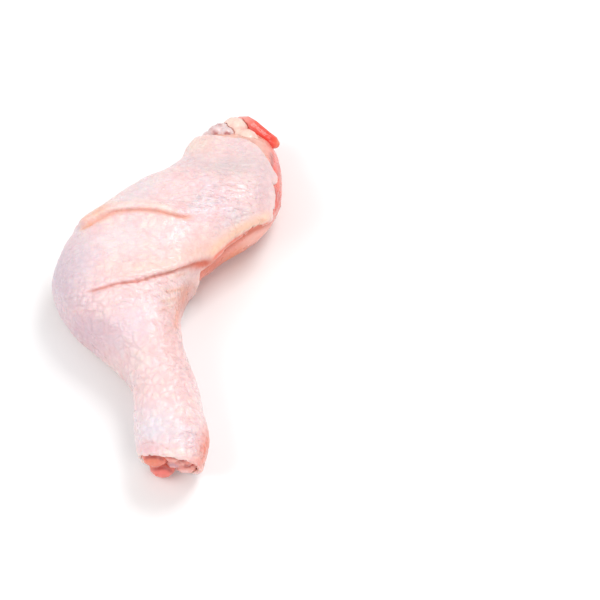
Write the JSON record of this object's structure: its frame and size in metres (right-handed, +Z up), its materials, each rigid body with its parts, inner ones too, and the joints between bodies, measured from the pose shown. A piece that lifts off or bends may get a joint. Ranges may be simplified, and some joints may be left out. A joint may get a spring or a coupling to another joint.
{
  "type": "raw chicken leg quarter",
  "caption": "Raw chicken thigh and drumstick in one piece with the skin on, knee bent, lying skin side up, bone ends showing at hip and hock.",
  "frame": {"origin": "on the surface that the leg rests on, below the middle of its outline seen from above", "axes": "+Z up out of the skin side, +Y towards the hip, -Y towards the hock, -X towards the knee"},
  "size_m": [0.1022, 0.2006, 0.0439],
  "materials": {
    "skin": "raw poultry skin, pale pink and moist, with small creases and feather follicles; leather stands in for it",
    "flesh": "raw poultry flesh, pink and wet; rubber stands in for it",
    "hip_bone": "gristle and bone end, grey-pink and moist; stone stands in for it",
    "hock_bone": "bone end, orange-pink and moist; stone stands in for it",
    "fat": "raw fat, cream, soft and shiny; rubber stands in for it",
    "red_meat": "raw red muscle, wet; rubber stands in for it",
    "sinew": "pale pink tendon ends, moist; rubber stands in for it"
  },
  "bodies": {
    "root": {"skin": "skin", "flesh": "flesh", "thigh_bone": "hip_bone", "shank_bone": "hock_bone", "hip_fat": "fat", "hip_muscle": "red_meat", "sinew": "sinew"}
  },
  "joints": []
}
